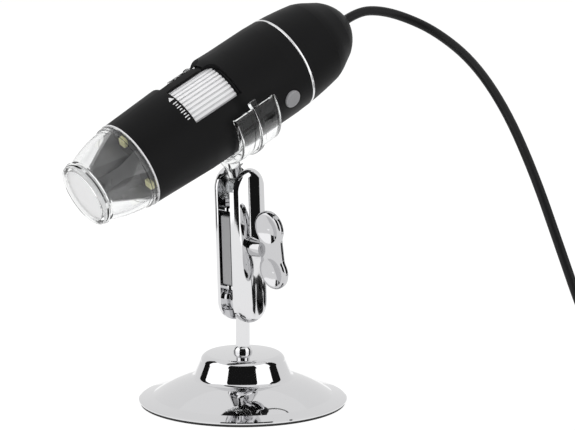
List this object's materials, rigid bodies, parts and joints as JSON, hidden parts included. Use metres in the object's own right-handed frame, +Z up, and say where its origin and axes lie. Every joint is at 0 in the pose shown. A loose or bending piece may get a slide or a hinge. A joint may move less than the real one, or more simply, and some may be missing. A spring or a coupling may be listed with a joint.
{
  "type": "usb digital microscope",
  "caption": "Hand-held digital microscope with clear nose, focus wheel and corded plug, held by a clear snap clip on a small chrome stand with a double ball arm.",
  "frame": {"origin": "centre of the underside of the round foot, on the table", "axes": "+Z up; the barrel's axis lies parallel to the XZ plane, its nose towards -X and down"},
  "size_m": [0.2474, 0.155, 0.1356],
  "materials": {
    "chrome": "polished chrome plate",
    "steel": "plain steel",
    "dark_rubber": "matt black rubber",
    "clear_acrylic": "clear moulded plastic",
    "soft_black": "soft black coat",
    "dark_grey": "satin dark grey",
    "white_plastic": "satin white",
    "silver_trim": "bright silver",
    "button_grey": "satin grey",
    "lamp_clear": "clear lamp over yellow phosphor",
    "lens_glass": "coated glass",
    "board_green": "green board",
    "sensor_black": "dark sensor glass",
    "cord_black": "satin black cord",
    "contact_gold": "gold flash"
  },
  "bodies": {
    "stand": {"base_pad": "dark_rubber", "base_shell": "chrome", "base_weight": "steel", "stem_rod": "chrome", "stem_collar": "chrome", "stem_screw": "steel"},
    "stand_ball": {"lower_ball": "chrome"},
    "arm": {"arm_shell_near": "chrome", "arm_shell_far": "chrome", "arm_nut": "steel", "arm_spacer": "steel"},
    "wing_screw": {"wing_knob": "chrome", "wing_stud": "steel"},
    "clip_ball": {"clip_ball": "clear_acrylic"},
    "holder": {"holder_clip": "clear_acrylic"},
    "focus": {"focus_wheel": "white_plastic"},
    "lens": {"lens_barrel": "dark_grey", "lens_front": "lens_glass", "lens_rear": "lens_glass"},
    "button": {"snap_button": "button_grey"},
    "dimmer_thumb": {"dimmer_wheel": "dark_grey"},
    "scope": {"nose_cone": "clear_acrylic", "front_window": "lens_glass", "front_ring": "white_plastic", "led_hood": "dark_grey", "led_board": "board_green", "leds": "lamp_clear", "main_housing": "soft_black", "lens_guide": "dark_grey", "wheel_retainer": "dark_grey", "sensor_board": "board_green", "sensor_screws": "steel", "image_sensor": "sensor_black", "main_board": "board_green", "snap_switch": "dark_grey", "trim_ring": "silver_trim", "end_cap": "soft_black", "cord_grommet": "cord_black", "cord_lead": "cord_black", "cord_tail": "cord_black", "cord_coil": "cord_black", "cord_end": "cord_black", "dimmer_case_top": "soft_black", "dimmer_case_bottom": "soft_black", "dimmer_board": "board_green", "plug_body": "cord_black", "plug_shell": "steel", "plug_insert": "white_plastic", "plug_contacts": "contact_gold"}
  },
  "joints": [
    {"name": "arm_swivel", "type": "hinge", "parent": "stand", "child": "stand_ball", "pos_m": [0, 0, 0.0353], "axis": [0, 0, 1], "range_deg": [-90, 90]},
    {"name": "arm_tilt", "type": "hinge", "parent": "stand_ball", "child": "arm", "pos_m": [0, 0, 0.0353], "axis": [0.1736, -0.9848, 0], "range_deg": [-25, 25]},
    {"name": "wing_turn", "type": "hinge", "parent": "arm", "child": "wing_screw", "pos_m": [-0.0007, -0.00012, 0.05459], "axis": [0.1736, -0.9848, 0], "continuous": true},
    {"name": "holder_tilt", "type": "hinge", "parent": "arm", "child": "clip_ball", "pos_m": [-0.00139, -0.00025, 0.07387], "axis": [0.1736, -0.9848, 0], "range_deg": [-30, 30]},
    {"name": "holder_swivel", "type": "hinge", "parent": "clip_ball", "child": "holder", "pos_m": [-0.00139, -0.00025, 0.07387], "axis": [-0.4243, -0.2882, 0.8584], "range_deg": [-40, 40]},
    {"name": "scope_roll", "type": "hinge", "parent": "holder", "child": "scope", "pos_m": [-0.06506, -0.0103, 0.07969], "axis": [0.8965, 0, 0.4431], "range_deg": [-20, 20]},
    {"name": "focus_turn", "type": "hinge", "parent": "scope", "child": "focus", "pos_m": [-0.06506, -0.0103, 0.07969], "axis": [0.8965, 0, 0.4431], "range_deg": [-150, 150]},
    {"name": "lens_slide", "type": "slide", "parent": "scope", "child": "lens", "axis": [0.8965, 0, 0.4431], "range_m": [-0.004, 0.004]},
    {"name": "snap_press", "type": "slide", "parent": "scope", "child": "button", "axis": [-0.166, 0.9272, 0.3358], "range_m": [0, 0.0006], "stiffness_N_per_m": 800, "springref_m": -0.0005},
    {"name": "dimmer_turn", "type": "hinge", "parent": "scope", "child": "dimmer_thumb", "pos_m": [0.11811, -0.10975, 0.0048], "axis": [0, 0, 1], "range_deg": [-135, 135]}
  ],
  "couplings": [
    {"joint": "focus_turn", "follows": "lens_slide", "rad_per_m": 654.4}
  ]
}
